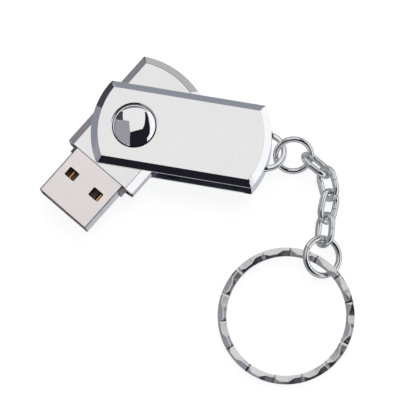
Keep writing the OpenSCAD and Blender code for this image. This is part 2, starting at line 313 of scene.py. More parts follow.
class Look:
    """A node material with the few helpers that every finish here shares."""

    def __init__(self, name):
        self.material = bpy.data.materials.new(name)
        self.material.use_nodes = True
        self.tree = self.material.node_tree
        self.shader = self.tree.nodes["Principled BSDF"]
        self.coords = self.tree.nodes.new("ShaderNodeTexCoord")

    def node(self, kind, **values):
        made = self.tree.nodes.new(kind)
        for key, value in values.items():
            setattr(made, key, value)
        return made

    def link(self, source, target):
        self.tree.links.new(source, target)

    def place(self, scale, turn):
        """The object's own coordinates, scaled and turned about Z."""
        mapping = self.node("ShaderNodeMapping")
        mapping.inputs["Scale"].default_value = scale
        mapping.inputs["Rotation"].default_value = (0, 0, turn)
        self.link(self.coords.outputs["Object"], mapping.inputs["Vector"])
        return mapping.outputs["Vector"]

    def noise(self, scale, detail, stretch=(1, 1, 1), turn=0.0):
        noise = self.node("ShaderNodeTexNoise")
        noise.inputs["Scale"].default_value = scale
        noise.inputs["Detail"].default_value = detail
        self.link(self.place(stretch, turn), noise.inputs["Vector"])
        return noise.outputs["Fac"]

    def ramp(self, value, low, high, low_out=0.0, high_out=1.0):
        """value from low..high to low_out..high_out, held at the ends."""
        scale = self.node("ShaderNodeMapRange")
        scale.inputs["From Min"].default_value = low
        scale.inputs["From Max"].default_value = high
        scale.inputs["To Min"].default_value = low_out
        scale.inputs["To Max"].default_value = high_out
        self.link(value, scale.inputs["Value"])
        return scale.outputs["Result"]

    def blend(self, factor, first, second):
        """A mix of two colours, each a tuple or a socket."""
        mix = self.node("ShaderNodeMix", data_type="RGBA")
        self.link(factor, mix.inputs["Factor"])
        colours = [s for s in mix.inputs if s.type == "RGBA"]
        for socket, colour in zip(colours, (first, second)):
            if isinstance(colour, tuple):
                socket.default_value = (*colour, 1)
            else:
                self.link(colour, socket)
        return next(s for s in mix.outputs if s.type == "RGBA")

    def bump(self, height, strength, distance):
        bump = self.node("ShaderNodeBump")
        bump.inputs["Strength"].default_value = strength
        bump.inputs["Distance"].default_value = distance
        self.link(height, bump.inputs["Height"])
        self.link(bump.outputs["Normal"], self.shader.inputs["Normal"])


def shade(colour, share):
    """A darker tone of a colour."""
    return tuple(share * c for c in colour)


def plated(name, colour, rough, scratch=0.25):
    """Plated metal: faint hairlines, a cloudy polish and small dull spots."""
    look = Look(name)
    look.shader.inputs["Metallic"].default_value = 1.0
    clouds = look.noise(CLOUD_SCALE, 4)
    hairs = look.noise(HAIR_SCALE, 2, (1, 0.04, 1), 0.5)
    spots = look.ramp(look.noise(SPOT_SCALE, 2), 0.68, 0.78, 0, 0.35)
    tone = look.blend(look.ramp(clouds, 0.3, 0.7), colour, shade(colour, 0.97))
    look.link(look.blend(spots, tone, shade(colour, 0.88)), look.shader.inputs["Base Color"])
    gloss = look.ramp(clouds, 0.25, 0.75, rough * 0.6, rough * 1.5)
    look.link(gloss, look.shader.inputs["Roughness"])
    look.bump(hairs, scratch, HAIR_DEPTH)
    return look.material


def moulded(name, colour, rough=0.45):
    """Moulded plastic with a fine spark-eroded grain."""
    look = Look(name)
    stains = look.noise(STAIN_SCALE, 3)
    look.link(look.blend(stains, shade(colour, 0.8), colour), look.shader.inputs["Base Color"])
    gloss = look.ramp(stains, 0.3, 0.7, rough - 0.08, rough + 0.1)
    look.link(gloss, look.shader.inputs["Roughness"])
    look.bump(look.noise(GRAIN_SCALE, 2), 0.4, GRAIN_DEPTH)
    return look.material


# Each finish: what makes it, its colour, its roughness and the strength of its hairlines. The
# last two are left out where they are the usual ones.
FINISHES = {
    "chrome_cover": (plated, (0.93, 0.93, 0.935), 0.03, 0.1),
    "chrome_body": (plated, (0.92, 0.92, 0.925), 0.04, 0.1),
    "chrome_stud": (plated, (0.95, 0.95, 0.96), 0.02, 0.05),
    # Painted reflection: a dark colour on the narrow rounded edges of the body and the plug, for the dark lines
    # that these edges mirror
    "worn_edge": (plated, (0.16, 0.15, 0.155), 0.35),
    # Painted shade: a dark bluish colour for the plates' inner faces, where shade falls between the plates
    "dull_chrome": (plated, (0.27, 0.27, 0.36), 0.35),
    # Painted shade: a near-black colour for the deep faces of the dome's seat, where shade falls in the recess
    "seat_residue": (plated, (0.03, 0.03, 0.035), 0.5),
    "plug_steel": (plated, (0.86, 0.82, 0.81), 0.14, 0.3),
    "chain_steel": (plated, (0.79, 0.79, 0.795), 0.15, 0.08),
    "ring_steel": (plated, (0.76, 0.76, 0.765), 0.24, 0.08),
    "retainer_steel": (plated, (0.55, 0.56, 0.58), 0.3),
    "washer_nylon": (moulded, (0.03, 0.03, 0.03)),
    "carrier_plastic": (moulded, (0.30, 0.26, 0.26)),
    "insulator_plastic": (moulded, (0.27, 0.16, 0.16)),
    "contact_gold": (plated, (0.80, 0.52, 0.22), 0.12),
    "board_green": (moulded, (0.02, 0.18, 0.06), 0.3),
    "chip_black": (moulded, (0.02, 0.02, 0.02), 0.5),
    "crystal_can": (plated, (0.75, 0.75, 0.76), 0.2),
    "capacitor_ceramic": (moulded, (0.35, 0.22, 0.10), 0.4),
    "resistor_ceramic": (moulded, (0.02, 0.02, 0.025), 0.3),
    "solder": (plated, (0.70, 0.71, 0.72), 0.25),
}
MATERIALS = {name: make(name, *facts) for name, (make, *facts) in FINISHES.items()}


# ---- mesh helpers ----

# Edges that turn by more than CREASE are shaded sharp. Faces that turn by less than SAME_PLANE
# and cover more than FLAT_AREA together are shaded flat. A face is level where its normal's Z,
# up or down, is over LEVEL, and a fillet where it isn't level and is narrower than FILLET_W.
CREASE = math.radians(35)
SAME_PLANE = math.radians(0.05)
FLAT_AREA = 0.8
LEVEL = 0.99999
FILLET_W = 0.08
# Points that are closer than this are one point
SAME_POINT = 1e-4
# The sides of a round shape
ROUND_SIDES = 96
# An arc at a corner takes up at least ARC_LEAST, and at most this share of each line there
ARC_LEAST = 0.02
ARC_SHARE = 0.45
# How far a cutter runs on past the solid that it cuts
OVERRUN = 1
# The tolerance of a test of a face's place
NEAR = 0.01
# How far inside their edges the flat faces have a ring of points
MARGIN = 1
# The small radius that stands for a closed middle in a turned profile
AXIS_R = 0.02


def plane_faces(bm):
    """The faces of the plane surfaces, which neighbours share where a cut has divided them."""
    left = set(bm.faces)
    found = set()
    while left:
        group = {left.pop()}
        waiting = list(group)
        while waiting:
            for line in waiting.pop().edges:
                if len(line.link_faces) == 2 and line.calc_face_angle() < SAME_PLANE:
                    fresh = set(line.link_faces) & left
                    left -= fresh
                    group |= fresh
                    waiting += fresh
        if sum(face.calc_area() for face in group) > FLAT_AREA:
            found |= group
    return found


def finish_piece(name, node, place, bm, also=()):
    """Puts the mesh bm in place as a piece that stands for a CAD node and rides on its body.

    also holds (material slot, test of a face) for faces of another material.
    """
    bmesh.ops.remove_doubles(bm, verts=bm.verts, dist=SAME_POINT)
    bmesh.ops.recalc_face_normals(bm, faces=bm.faces)
    plane = plane_faces(bm)
    for face in bm.faces:
        face.smooth = face not in plane
        for number, (_, test) in enumerate(also, 1):
            if test(face):
                face.material_index = number
    for line in bm.edges:
        line.smooth = len(line.link_faces) == 2 and line.calc_face_angle() < CREASE
    bm.transform(place @ Matrix.Scale(MM, 4))
    mesh = bpy.data.meshes.new(name)
    bm.to_mesh(mesh)
    bm.free()
    for slot in [slot_of[node]] + [slot for slot, _ in also]:
        mesh.materials.append(MATERIALS[slot])
    piece = bpy.data.objects.new(name, mesh)
    bpy.context.scene.collection.objects.link(piece)
    even = piece.modifiers.new("even_shading", "WEIGHTED_NORMAL")
    even.mode = "FACE_AREA"
    even.weight = 100
    even.keep_sharp = True
    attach(piece, body_with[node])
    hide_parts(node)


def is_fillet(face):
    """Whether a face is a narrow strip, as the rounding along an edge is."""
    narrow = face.calc_area() < FILLET_W / 2 * face.calc_perimeter()
    return narrow and abs(face.normal.z) < LEVEL


def loft(loops, ring=False):
    """A skin over a row of loops that have equal numbers of points. Its ends are capped, or
    with ring the last loop joins the first."""
    bm = bmesh.new()
    rows = [[bm.verts.new(point) for point in loop] for loop in loops]
    pairs = list(zip(rows, rows[1:]))
    if ring:
        pairs.append((rows[-1], rows[0]))
    for low, high in pairs:
        for i in range(len(low)):
            j = (i + 1) % len(low)
            bm.faces.new((low[i], low[j], high[j], high[i]))
    if not ring:
        bm.faces.new(rows[0][::-1])
        bm.faces.new(rows[-1])
    bmesh.ops.recalc_face_normals(bm, faces=bm.faces)
    return bm


def lathe(profile, ring=False, sides=ROUND_SIDES, centre=(0, 0)):
    """Turns a profile of (radius, height) about an upright line."""
    turns = [TURN * i / sides for i in range(sides)]
    x, y = centre
    loops = [[(x + r * math.cos(t), y + r * math.sin(t), z) for t in turns] for r, z in profile]
    return loft(loops, ring)


def rounded(points, radius, steps=3, closed=False):
    """The line through points with each corner turned into an arc of about that radius."""
    made = []
    for i, point in enumerate(points):
        corner = Vector(point)
        if not closed and i in (0, len(points) - 1):
            made.append(corner)
            continue
        before = Vector(points[i - 1]) - corner
        after = Vector(points[(i + 1) % len(points)]) - corner
        reach = max(radius / math.tan(before.angle(after) / 2), ARC_LEAST)
        reach = min(reach, ARC_SHARE * before.length, ARC_SHARE * after.length)
        start = corner + before.normalized() * reach
        end = corner + after.normalized() * reach
        for k in range(steps + 1):
            t = k / steps
            made.append(start * (1 - t) ** 2 + corner * (2 * t * (1 - t)) + end * t ** 2)
    return made


def join(parts):
    """One mesh of several."""
    whole = bmesh.new()
    for bm in parts:
        mesh = bpy.data.meshes.new("part")
        bm.to_mesh(mesh)
        bm.free()
        whole.from_mesh(mesh)
        bpy.data.meshes.remove(mesh)
    return whole


def temporary(bm):
    """An object of the mesh bm, for one cut."""
    mesh = bpy.data.meshes.new("temporary")
    bm.to_mesh(mesh)
    bm.free()
    made = bpy.data.objects.new("temporary", mesh)
    bpy.context.scene.collection.objects.link(made)
    return made


def carve(base, tools, operation="DIFFERENCE"):
    """Cuts the solids in tools from base, or adds them to it, one after another."""
    for tool in tools:
        work, other = temporary(base), temporary(tool)
        step = work.modifiers.new("step", "BOOLEAN")
        step.operation = operation
        step.solver = "EXACT"
        step.object = other
        bpy.context.view_layer.update()
        shown = work.evaluated_get(bpy.context.evaluated_depsgraph_get())
        base = bmesh.new()
        base.from_mesh(shown.to_mesh())
        shown.to_mesh_clear()
        for used in (work, other):
            mesh = used.data
            bpy.data.objects.remove(used)
            bpy.data.meshes.remove(mesh)
    return base


def mirrored(bm):
    """The same solid below instead of above z = 0."""
    bm.transform(Matrix.Diagonal((1, 1, -1, 1)))
    bmesh.ops.reverse_faces(bm, faces=bm.faces)
    return bm


def raised(bm, z):
    bm.transform(Matrix.Translation((0, 0, z)))
    return bm


def block(low, high, edge, corner=None, steps=2):
    """A box between two corners: its upright edges are rounded and its others cut off."""
    corner = edge if corner is None else corner
    loops = []
    for inset, z in ((edge, low.z), (0, low.z + edge), (0, high.z - edge), (edge, high.z)):
        square = [
            (low.x + inset, low.y + inset), (high.x - inset, low.y + inset),
            (high.x - inset, high.y - inset), (low.x + inset, high.y - inset),
        ]
        loops.append([(*p, z) for p in rounded(square, corner, steps, closed=True)])
    return loft(loops)


def between(low, high, steps):
    """Evenly spaced values from low to high, both included."""
    return [low + (high - low) * i / steps for i in range(steps + 1)]


# ---- outlines in plan ----

CORNER_STEPS = 4
BOW_STEPS = 40


def bowed_end(half_w, centre_x, radius, corner):
    """The bowed end at +X of an outline, from its +Y corner to its -Y corner."""
    y = half_w - corner
    x = centre_x + math.sqrt((radius - corner) ** 2 - y ** 2)
    turn = math.atan2(y, x - centre_x)
    first = [
        Vector((x + corner * math.cos(t), y + corner * math.sin(t)))
        for t in between(TURN / 4, turn, CORNER_STEPS)
    ]
    bow = [
        Vector((centre_x + radius * math.cos(t), radius * math.sin(t)))
        for t in between(turn, -turn, BOW_STEPS)[1:-1]
    ]
    return first + bow + [Vector((p.x, -p.y)) for p in reversed(first)]


def at_height(points, z, turned=False):
    """Points in plan put at a height, half a turn about Z further on with turned."""
    sign = -1 if turned else 1
    return [(sign * p.x, sign * p.y, z) for p in points]


# ---- cover ----

# The plates are centred on the frame's origin, and the loop stands out beyond them at +X.
# A bevel is given by its width in plan and its height, and a bow by how far it stands out.
COVER_LENGTH = -2 * COVER_LOW.x
COVER_HALF_W = COVER_HIGH.y
COVER_T = COVER_HIGH.z
PLATE_T = 1.1
COVER_BEVEL = (1.42, 0.9)
COVER_BOW = 2.4
COVER_EDGE = 0.11
COVER_CORNER = 0.35
# The least radius that a corner of an outline keeps as the outline is inset
LEAST_CORNER = 0.08
INNER_MARGIN = 0.6
WALL_T = 1.2
WALL_INSET = 0.02
BOW_R = (COVER_BOW ** 2 + COVER_HALF_W ** 2) / (2 * COVER_BOW)
BOW_CENTRE = COVER_LENGTH / 2 - BOW_R
# The cast loop: its bar's radius and squareness, and the collar where the bar meets the wall
LOOP_BAR = 0.56
LOOP_SQUARENESS = 2.6
LOOP_R = 3.3
LOOP_CENTRE = COVER_HIGH.x - LOOP_R - LOOP_BAR
LOOP_HALF_TURN = TURN * 0.26
COLLAR_SWELL = 0.22
COLLAR_L = 0.35
COLLAR_FADE = 0.22

# The studs, and what is cut out of the cover for them
DOME_R = DOME_HIGH.y
FOOT_R = 3.5
SHANK_R = 2.6
SHANK_GAP = 0.06
HEAD_GAP = 0.15
SEAT_DEPTH = 0.55
SEAT_ROUND = 0.14
RIM_CUT = 0.3
FOOT_RIM_CUT = 0.08
# The painted shade in the dome's seat, a near-black colour on its deep faces: how far below the top it begins, and
# how far out it goes
SEAT_SHADE_TOP = 0.24
SEAT_SHADE_R = DOME_R + 0.2


def cover_loop(inset, z):
    """The cover's outline in plan, inset."""
    corner = max(COVER_CORNER - inset, LEAST_CORNER)
    end = bowed_end(COVER_HALF_W - inset, BOW_CENTRE, BOW_R - inset, corner)
    return at_height(end, z) + at_height(end, z, turned=True)


def cover_plate():
    """A plate that stands on its inner face."""
    width, height = COVER_BEVEL
    profile = [
        (INNER_MARGIN, 0), (0, 0), (0, PLATE_T - height), (width, PLATE_T), (width + MARGIN, PLATE_T),
    ]
    return loft([cover_loop(inset, z) for inset, z in rounded(profile, COVER_EDGE)])


def cover_wall():
    """The wall that joins the plates, a hair behind their edges. It ends half way up the upright
    part of each edge, so it stays clear of the bevels."""
    half_w = COVER_HALF_W - WALL_INSET
    outside = bowed_end(half_w, BOW_CENTRE, BOW_R - WALL_INSET, COVER_CORNER)
    turn = math.asin(half_w / (BOW_R - WALL_T))
    inside = [
        Vector((BOW_CENTRE + (BOW_R - WALL_T) * math.cos(t), (BOW_R - WALL_T) * math.sin(t)))
        for t in between(-turn, turn, BOW_STEPS)
    ]
    reach = (PLATE_T + COVER_BEVEL[1]) / 2
    return loft([at_height(outside + inside, z) for z in (reach, COVER_T - reach)])


def heading(turn):
    """The level direction at an angle."""
    return Vector((math.cos(turn), math.sin(turn), 0))


def section_at(point, way, section):
    """The (outward, up) points of a wire's section, put at a point of the wire."""
    return [point + way * a + Vector((0, 0, b)) for a, b in section]


def bar_section(radius, squareness, sides=32):
    """A round bar's section, squared off where squareness is more than 2."""
    made = []
    for i in range(sides):
        t = TURN * i / sides
        c, s = math.cos(t), math.sin(t)
        grow = (abs(c) ** squareness + abs(s) ** squareness) ** (-1 / squareness)
        made.append((radius * c * grow, radius * s * grow))
    return made


def key_loop():
    """The cast loop, which thickens into a collar where it meets the wall."""
    loops = []
    for t in between(-LOOP_HALF_TURN, LOOP_HALF_TURN, 48):
        way = heading(t)
        collar = COLLAR_SWELL * math.exp(-max(way.x * LOOP_R - COLLAR_L, 0) / COLLAR_FADE)
        centre = Vector((LOOP_CENTRE, 0, COVER_T / 2)) + way * LOOP_R
        loops.append(section_at(centre, way, bar_section(LOOP_BAR + collar, LOOP_SQUARENESS)))
    return loft(loops)


def seat_cutter(radius, top, cut):
    """What a head's seat takes out of the cover's upper face, with a bevel along its rim."""
    over = 0.3
    profile = [
        (AXIS_R, top - SEAT_DEPTH), (radius, top - SEAT_DEPTH), (radius, top - cut),
        (radius + cut, top), (radius + cut + over, top + over), (AXIS_R, top + over),
    ]
    return lathe(rounded(profile, SEAT_ROUND), centre=SWIVEL_AT)


def make_cover():
    plates = [raised(cover_plate(), COVER_T - PLATE_T), raised(mirrored(cover_plate()), PLATE_T)]
    whole = carve(cover_wall(), plates + [key_loop()], "UNION")
    hole_r = SHANK_R + SHANK_GAP
    hole = lathe([(hole_r, -OVERRUN), (hole_r, COVER_T + OVERRUN)], centre=SWIVEL_AT)
    dome_seat = seat_cutter(DOME_R + HEAD_GAP, COVER_T, RIM_CUT)
    foot_seat = mirrored(seat_cutter(FOOT_R + HEAD_GAP, 0, FOOT_RIM_CUT))
    whole = carve(whole, [dome_seat, foot_seat, hole])

    # The deep faces of the dome's seat take a near-black colour, painted shade in the recess
    def in_shaded_seat(face):
        p = face.calc_center_median()
        deep = COVER_T - SEAT_DEPTH - NEAR < p.z < COVER_T - SEAT_SHADE_TOP
        return deep and (p.xy - Vector(SWIVEL_AT)).length < SEAT_SHADE_R

    # The plates' inner faces take a dark bluish colour, painted shade between the plates
    def is_inside(face):
        z = face.calc_center_median().z
        level = abs(face.normal.z) > LEVEL
        return level and PLATE_T - NEAR < z < COVER_T - PLATE_T + NEAR

    also = [("seat_residue", in_shaded_seat), ("dull_chrome", is_inside)]
    finish_piece("cover_shell", "swivel_cover", COVER, whole, also)


# ---- swivel body ----

BODY_FRONT = SHELL_HIGH.x
BODY_HALF_W = SHELL_HIGH.y
BODY_HI = SHELL_HIGH.z
SEAM = SHELL_LOW.z
REAR_R = 16.9
REAR_CENTRE = SHELL_LOW.x + REAR_R
REAR_CORNER = 0.3
FRONT_CORNER = 0.4
BODY_BEVEL = (1.5, 1.4)
BODY_EDGE = 0.13
SHELL_WALL = 0.8
FRONT_WALL = 1.0
# The bevel of the room inside is this much smaller than the outside's
ROOM_BEVEL_LESS = 0.3
SLOT_HALF_W = PLUG_HIGH.y + 0.4
SLOT_HI = PLUG_HIGH.z + 0.02
SLOT_ROUND = 0.25
SLOT_BEHIND = 0.3
WASHER_R = local_box("friction_washers", DRIVE)[1].y
POCKET_R = WASHER_R + 0.1
POCKET_DEPTH = 0.22


def body_loop(side, front):
    """side and front are the (inset, height) of the sides and the rear, and of the front."""
    inset, z = side
    front_inset, front_z = front
    rear_corner = max(REAR_CORNER - inset, LEAST_CORNER)
    rear = bowed_end(BODY_HALF_W - inset, -REAR_CENTRE, REAR_R - inset, rear_corner)
    corner = max(FRONT_CORNER - inset / 5, LEAST_CORNER)
    quarter = []
    for k in range(CORNER_STEPS + 1):
        share = k / CORNER_STEPS
        t = TURN / 4 * (1 - share)
        quarter.append((
            BODY_FRONT - front_inset - corner + corner * math.cos(t),
            BODY_HALF_W - inset - corner + corner * math.sin(t),
            z + (front_z - z) * share,
        ))
    return quarter + [(x, -y, h) for x, y, h in reversed(quarter)] + at_height(rear, z, turned=True)


def body_half():
    """The upper half of the body's outside."""
    width, height = BODY_BEVEL
    knee = BODY_HI - height
    side = [(MARGIN, SEAM), (0, SEAM), (0, knee), (width, BODY_HI), (width + MARGIN, BODY_HI)]
    front = [(MARGIN, SEAM), (0, SEAM), (0, knee), (0, BODY_HI), (MARGIN, BODY_HI)]
    sides, fronts = rounded(side, BODY_EDGE), rounded(front, BODY_EDGE)
    return loft([body_loop(side, front) for side, front in zip(sides, fronts)])


def body_room():
    """The room inside the upper half."""
    width, height = (size - ROOM_BEVEL_LESS for size in BODY_BEVEL)
    top = BODY_HI - SHELL_WALL
    profile = [(SHELL_WALL, -OVERRUN), (SHELL_WALL, top - height), (SHELL_WALL + width, top)]
    return loft([body_loop(point, (FRONT_WALL, point[1])) for point in profile])


def section_along_x(x, half_w, half_t, radius, steps=4):
    """A rounded rectangle across X."""
    square = [(half_w, half_t), (-half_w, half_t), (-half_w, -half_t), (half_w, -half_t)]
    return [(x, p.x, p.y) for p in rounded(square, radius, steps, closed=True)]


def bar_along_x(low, high, half_w, half_t, radius):
    """A bar of that section from low to high."""
    return loft([section_along_x(x, half_w, half_t, radius) for x in (low, high)])


def make_shells():
    """The lower shell is the upper one's mirror image."""
    for name, node in (("body_top", "upper_shell"), ("body_bottom", "lower_shell")):
        slot_ends = PLUG_LOW.x - SLOT_BEHIND, BODY_FRONT + OVERRUN
        slot = bar_along_x(*slot_ends, SLOT_HALF_W, SLOT_HI, SLOT_ROUND)
        pocket = lathe([(POCKET_R, BODY_HI - POCKET_DEPTH), (POCKET_R, BODY_HI + OVERRUN)])
        hole = lathe([(SHANK_R, -OVERRUN), (SHANK_R, BODY_HI + OVERRUN)])
        shell = carve(body_half(), [body_room(), slot, pocket, hole])
        if node == "lower_shell":
            shell = mirrored(shell)
        # The body's narrow rounded edges take a dark colour, a painted reflection
        finish_piece(name, node, DRIVE, shell, [("worn_edge", is_fillet)])


# ---- pivot ----

# The studs' heads: the dome's upright rim, how far each stands off its seat, their edges, and
# how close to its middle the crown's rings go, as an angle
DOME_RIM_T = 0.3
DOME_LIFT = 0.03
FOOT_LIFT = 0.1
DOME_EDGE = 0.08
FOOT_EDGE = 0.1
CROWN_MIDDLE = 0.004
RETAINER_R = 3.4
WASHER_GAP = 0.05


def make_dome():
    head_low = COVER_T / 2 - SEAT_DEPTH + DOME_LIFT
    rise = DOME_HIGH.z - head_low - DOME_RIM_T
    ball_r = (DOME_R ** 2 + rise ** 2) / (2 * rise)
    crown = [
        (ball_r * math.sin(t), DOME_HIGH.z - ball_r + ball_r * math.cos(t))
        for t in between(math.asin(DOME_R / ball_r), CROWN_MIDDLE, 40)
    ]
    rim = rounded([(SHANK_R, head_low), (DOME_R, head_low), crown[0]], DOME_EDGE)
    solid = lathe([(SHANK_R, DOME_LOW.z)] + rim + crown[1:], sides=128)
    finish_piece("dome_head", "dome_stud", DRIVE, solid)


def make_foot():
    head_hi = FOOT_LOW.z + SEAT_DEPTH - FOOT_LIFT
    profile = [
        (SHANK_R, FOOT_HIGH.z), (SHANK_R, head_hi), (FOOT_R, head_hi), (FOOT_R, FOOT_LOW.z),
        (FOOT_R / 2, FOOT_LOW.z),
    ]
    finish_piece("foot_head", "foot_stud", DRIVE, lathe(rounded(profile, FOOT_EDGE)))


def make_ring_pairs():
    """The flat rings: each node holds an upper and a lower one."""
    for name, node, radius, hole in (
        ("swivel_washers", "friction_washers", WASHER_R, SHANK_R + WASHER_GAP),
        ("push_on_washers", "stud_retainers", RETAINER_R, SHANK_R),
    ):
        solids = []
        for low, high in island_boxes(node, DRIVE):
            edge = (high.z - low.z) / 4
            square = [(hole, low.z), (radius, low.z), (radius, high.z), (hole, high.z)]
            solids.append(lathe(rounded(square, edge, 2, closed=True), ring=True))
        finish_piece(name, node, DRIVE, join(solids))


# ---- plug ----

PLUG_WALL = 0.3
PLUG_EDGE = 0.45
# The plug's rounded tip: how far it turns in, and how wide its rounding is
TIP_INSET = 0.25
TIP_ROUND = 0.12
# The latch windows: how far to the side and behind the tip their middles are, and their size
WINDOW_Y = 3.1
WINDOW_BACK = 6.3
WINDOW = Vector((1.95, 2.4))
WINDOW_ROUND = 0.3
# The butt seam along the middle of the plug's underside, with one dovetail key
SEAM_W = 0.05
KEY_X, KEY_L, KEY_Y = 17.6, 2.2, 0.8
SEAM_CUTS = [
    ((PLUG_LOW.x - OVERRUN, -SEAM_W / 2), (KEY_X, SEAM_W / 2)),
    ((KEY_X - SEAM_W, -SEAM_W / 2), (KEY_X, KEY_Y)),
    ((KEY_X - SEAM_W, KEY_Y - SEAM_W), (KEY_X + KEY_L, KEY_Y)),
    ((KEY_X + KEY_L - SEAM_W, -SEAM_W / 2), (KEY_X + KEY_L, KEY_Y)),
    ((KEY_X + KEY_L - SEAM_W, -SEAM_W / 2), (PLUG_HIGH.x + OVERRUN, SEAM_W / 2)),
]
# The cut along a block's edges where they are to look sharp
SHARP = 0.01
SEAM_SHARP = 0.005


def plug_skin():
    """The outside of the plug."""
    half_w, half_t = PLUG_HIGH.y, PLUG_HIGH.z
    tip = [(0, PLUG_HIGH.x - 1), (0, PLUG_HIGH.x), (TIP_INSET, PLUG_HIGH.x)]
    loops = [section_along_x(PLUG_LOW.x, half_w, half_t, PLUG_EDGE)]
    for inset, x in rounded(tip, TIP_ROUND)[:-1]:
        loops.append(section_along_x(x, half_w - inset, half_t - inset, PLUG_EDGE - inset))
    return loft(loops)


def plug_bore():
    ends = PLUG_LOW.x - OVERRUN, PLUG_HIGH.x + OVERRUN
    half_w, half_t = PLUG_HIGH.y - PLUG_WALL, PLUG_HIGH.z - PLUG_WALL
    return bar_along_x(*ends, half_w, half_t, PLUG_EDGE - PLUG_WALL)


def latch_windows():
    """Two cutters, each through both faces of the plug."""
    reach = Vector((WINDOW.x / 2, WINDOW.y / 2, PLUG_HIGH.z + OVERRUN))
    middles = [Vector((PLUG_HIGH.x - WINDOW_BACK, side * WINDOW_Y, 0)) for side in (-1, 1)]
    return [block(m - reach, m + reach, SHARP, WINDOW_ROUND, 4) for m in middles]


def seam():
    """Cutters through the plug's underside."""
    bottom, top = -PLUG_HIGH.z - OVERRUN, -PLUG_HIGH.z + OVERRUN
    return [block(Vector((*a, bottom)), Vector((*b, top)), SEAM_SHARP) for a, b in SEAM_CUTS]


def make_plug():
    whole = carve(plug_skin(), [plug_bore()] + latch_windows() + seam())
    # The plug's narrow rounded edges take a dark colour, a painted reflection
    finish_piece("plug_can", "plug_shell", DRIVE, whole, [("worn_edge", is_fillet)])


# The insulator's tongue: where it leaves the thicker root, how far it laps into that, and the
# grooves for the contacts
TONGUE_BACK = 9.2
TONGUE_LAP = 0.5
TONGUE_OVER_CONTACTS = 0.1
TONGUE_EDGE = 0.12
ROOT_EDGE = 0.05
GROOVE_GAP = 0.03
GROOVE_ON = 0.1
# Keeps two joined solids from sharing a plane
APART = 0.001


def make_insulator():
    low, high = local_box("plug_insulator", DRIVE)
    contacts = island_boxes("plug_contacts", DRIVE)
    root = block(low, Vector((TONGUE_BACK, high.y, high.z)), ROOT_EDGE)
    tongue_top = contacts[0][0].z + TONGUE_OVER_CONTACTS
    tongue_low = Vector((TONGUE_BACK - TONGUE_LAP, low.y, low.z + APART))
    tongue = block(tongue_low, Vector((high.x, high.y - APART, tongue_top)), TONGUE_EDGE)
    grooves = [
        block(
            Vector((0, a.y - GROOVE_GAP, a.z - GROOVE_GAP)),
            Vector((b.x + GROOVE_ON, b.y + GROOVE_GAP, b.z + GROOVE_GAP)),
            SHARP,
        )
        for a, b in contacts
    ]
    whole = carve(root, [tongue], "UNION")
    finish_piece("plug_tongue", "plug_insulator", DRIVE, carve(whole, grooves))


# A contact's section, as shares of its half width and of its thickness: two raised rails
STRIP = [
    (-1, 0), (1, 0), (1, 0.3), (0.7, 0.9), (0.6, 1), (0.5, 0.9), (0.15, 0.3),
    (-0.15, 0.3), (-0.5, 0.9), (-0.6, 1), (-0.7, 0.9), (-1, 0.3),
]
# How far and over what length a strip turns down at its tip
STRIP_DIP = 0.12
STRIP_DIP_L = 0.5


def make_contacts():
    """Stamped strips with two raised rails, turned down at the tip."""
    strips = []
    for low, high in island_boxes("plug_contacts", DRIVE):
        middle, half_w = (low.y + high.y) / 2, (high.y - low.y) / 2
        loops = []
        for x in between(low.x, high.x, 24):
            dip = STRIP_DIP * max(0, 1 - (high.x - x) / STRIP_DIP_L) ** 2
            loops.append([
                (x, middle + share * half_w, low.z + (high.z - low.z) * rise - dip * (rise > 0))
                for share, rise in STRIP
            ])
        strips.append(loft(loops))
    finish_piece("contact_strips", "plug_contacts", DRIVE, join(strips))


# ---- inside the body ----

# The carrier: half its rails' height, how far out its cheeks reach, and the room around it
RAIL_HALF_T = 1.45
CHEEK_Y = 6.35
RAIL_EDGE = 0.06
CHEEK_EDGE = 0.05
CARRIER_GAP = 0.03
CARRIER_BACK = 0.1
BRIDGE_INSET = 0.01


def side_bar(side, y_ends, x_ends, half_t, edge):
    """A bar on the +Y or -Y side (1 or -1), whose y_ends are given for the +Y side."""
    y0, y1 = sorted(side * y for y in y_ends)
    return block(Vector((x_ends[0], y0, -half_t)), Vector((x_ends[1], y1, half_t)), edge)


def make_carrier():
    """A bridge behind the board, two rails beside it, and the cheeks beside the plug's root."""
    low, high = local_box("carrier", DRIVE)
    board_low, board_high = local_box("circuit_board", DRIVE)
    beside = PLUG_HIGH.y + CARRIER_GAP
    rail_end = BODY_FRONT - FRONT_WALL - CARRIER_BACK
    bars = []
    for side in (-1, 1):
        bars.append(side_bar(side, (beside, high.y), (low.x, rail_end), RAIL_HALF_T, RAIL_EDGE))
        bars.append(side_bar(side, (beside, CHEEK_Y), (PLUG_LOW.x, high.x), PLUG_HIGH.z, CHEEK_EDGE))
    bridge_low = Vector((low.x, low.y + BRIDGE_INSET, -RAIL_HALF_T))
    bridge_high = Vector((board_low.x - CARRIER_BACK, high.y - BRIDGE_INSET, RAIL_HALF_T))
    whole = carve(block(bridge_low, bridge_high, RAIL_EDGE), bars, "UNION")
    gap = Vector((CARRIER_GAP, CARRIER_GAP, CARRIER_GAP))
    board_room = block(board_low - gap, board_high + gap, SHARP)
    finish_piece("inner_frame", "carrier", DRIVE, carve(whole, [board_room]))


BOARD_EDGE = 0.04
BOARD_CORNER = 0.3
BOARD_HOLE_R = 0.25
BOARD_HOLES_X = (-9.6, 3.4)
BOARD_HOLES_Y = (-5.7, 5.7)


def make_board():
    low, high = local_box("circuit_board", DRIVE)
    through = [(BOARD_HOLE_R, low.z - OVERRUN), (BOARD_HOLE_R, high.z + OVERRUN)]
    holes = [lathe(through, sides=24, centre=(x, y)) for x in BOARD_HOLES_X for y in BOARD_HOLES_Y]
    whole = carve(block(low, high, BOARD_EDGE, BOARD_CORNER), holes)
    finish_piece("board", "circuit_board", DRIVE, whole)


LEAD_L = 0.7
LEAD_T = 0.15
LEAD_EDGE = 0.02
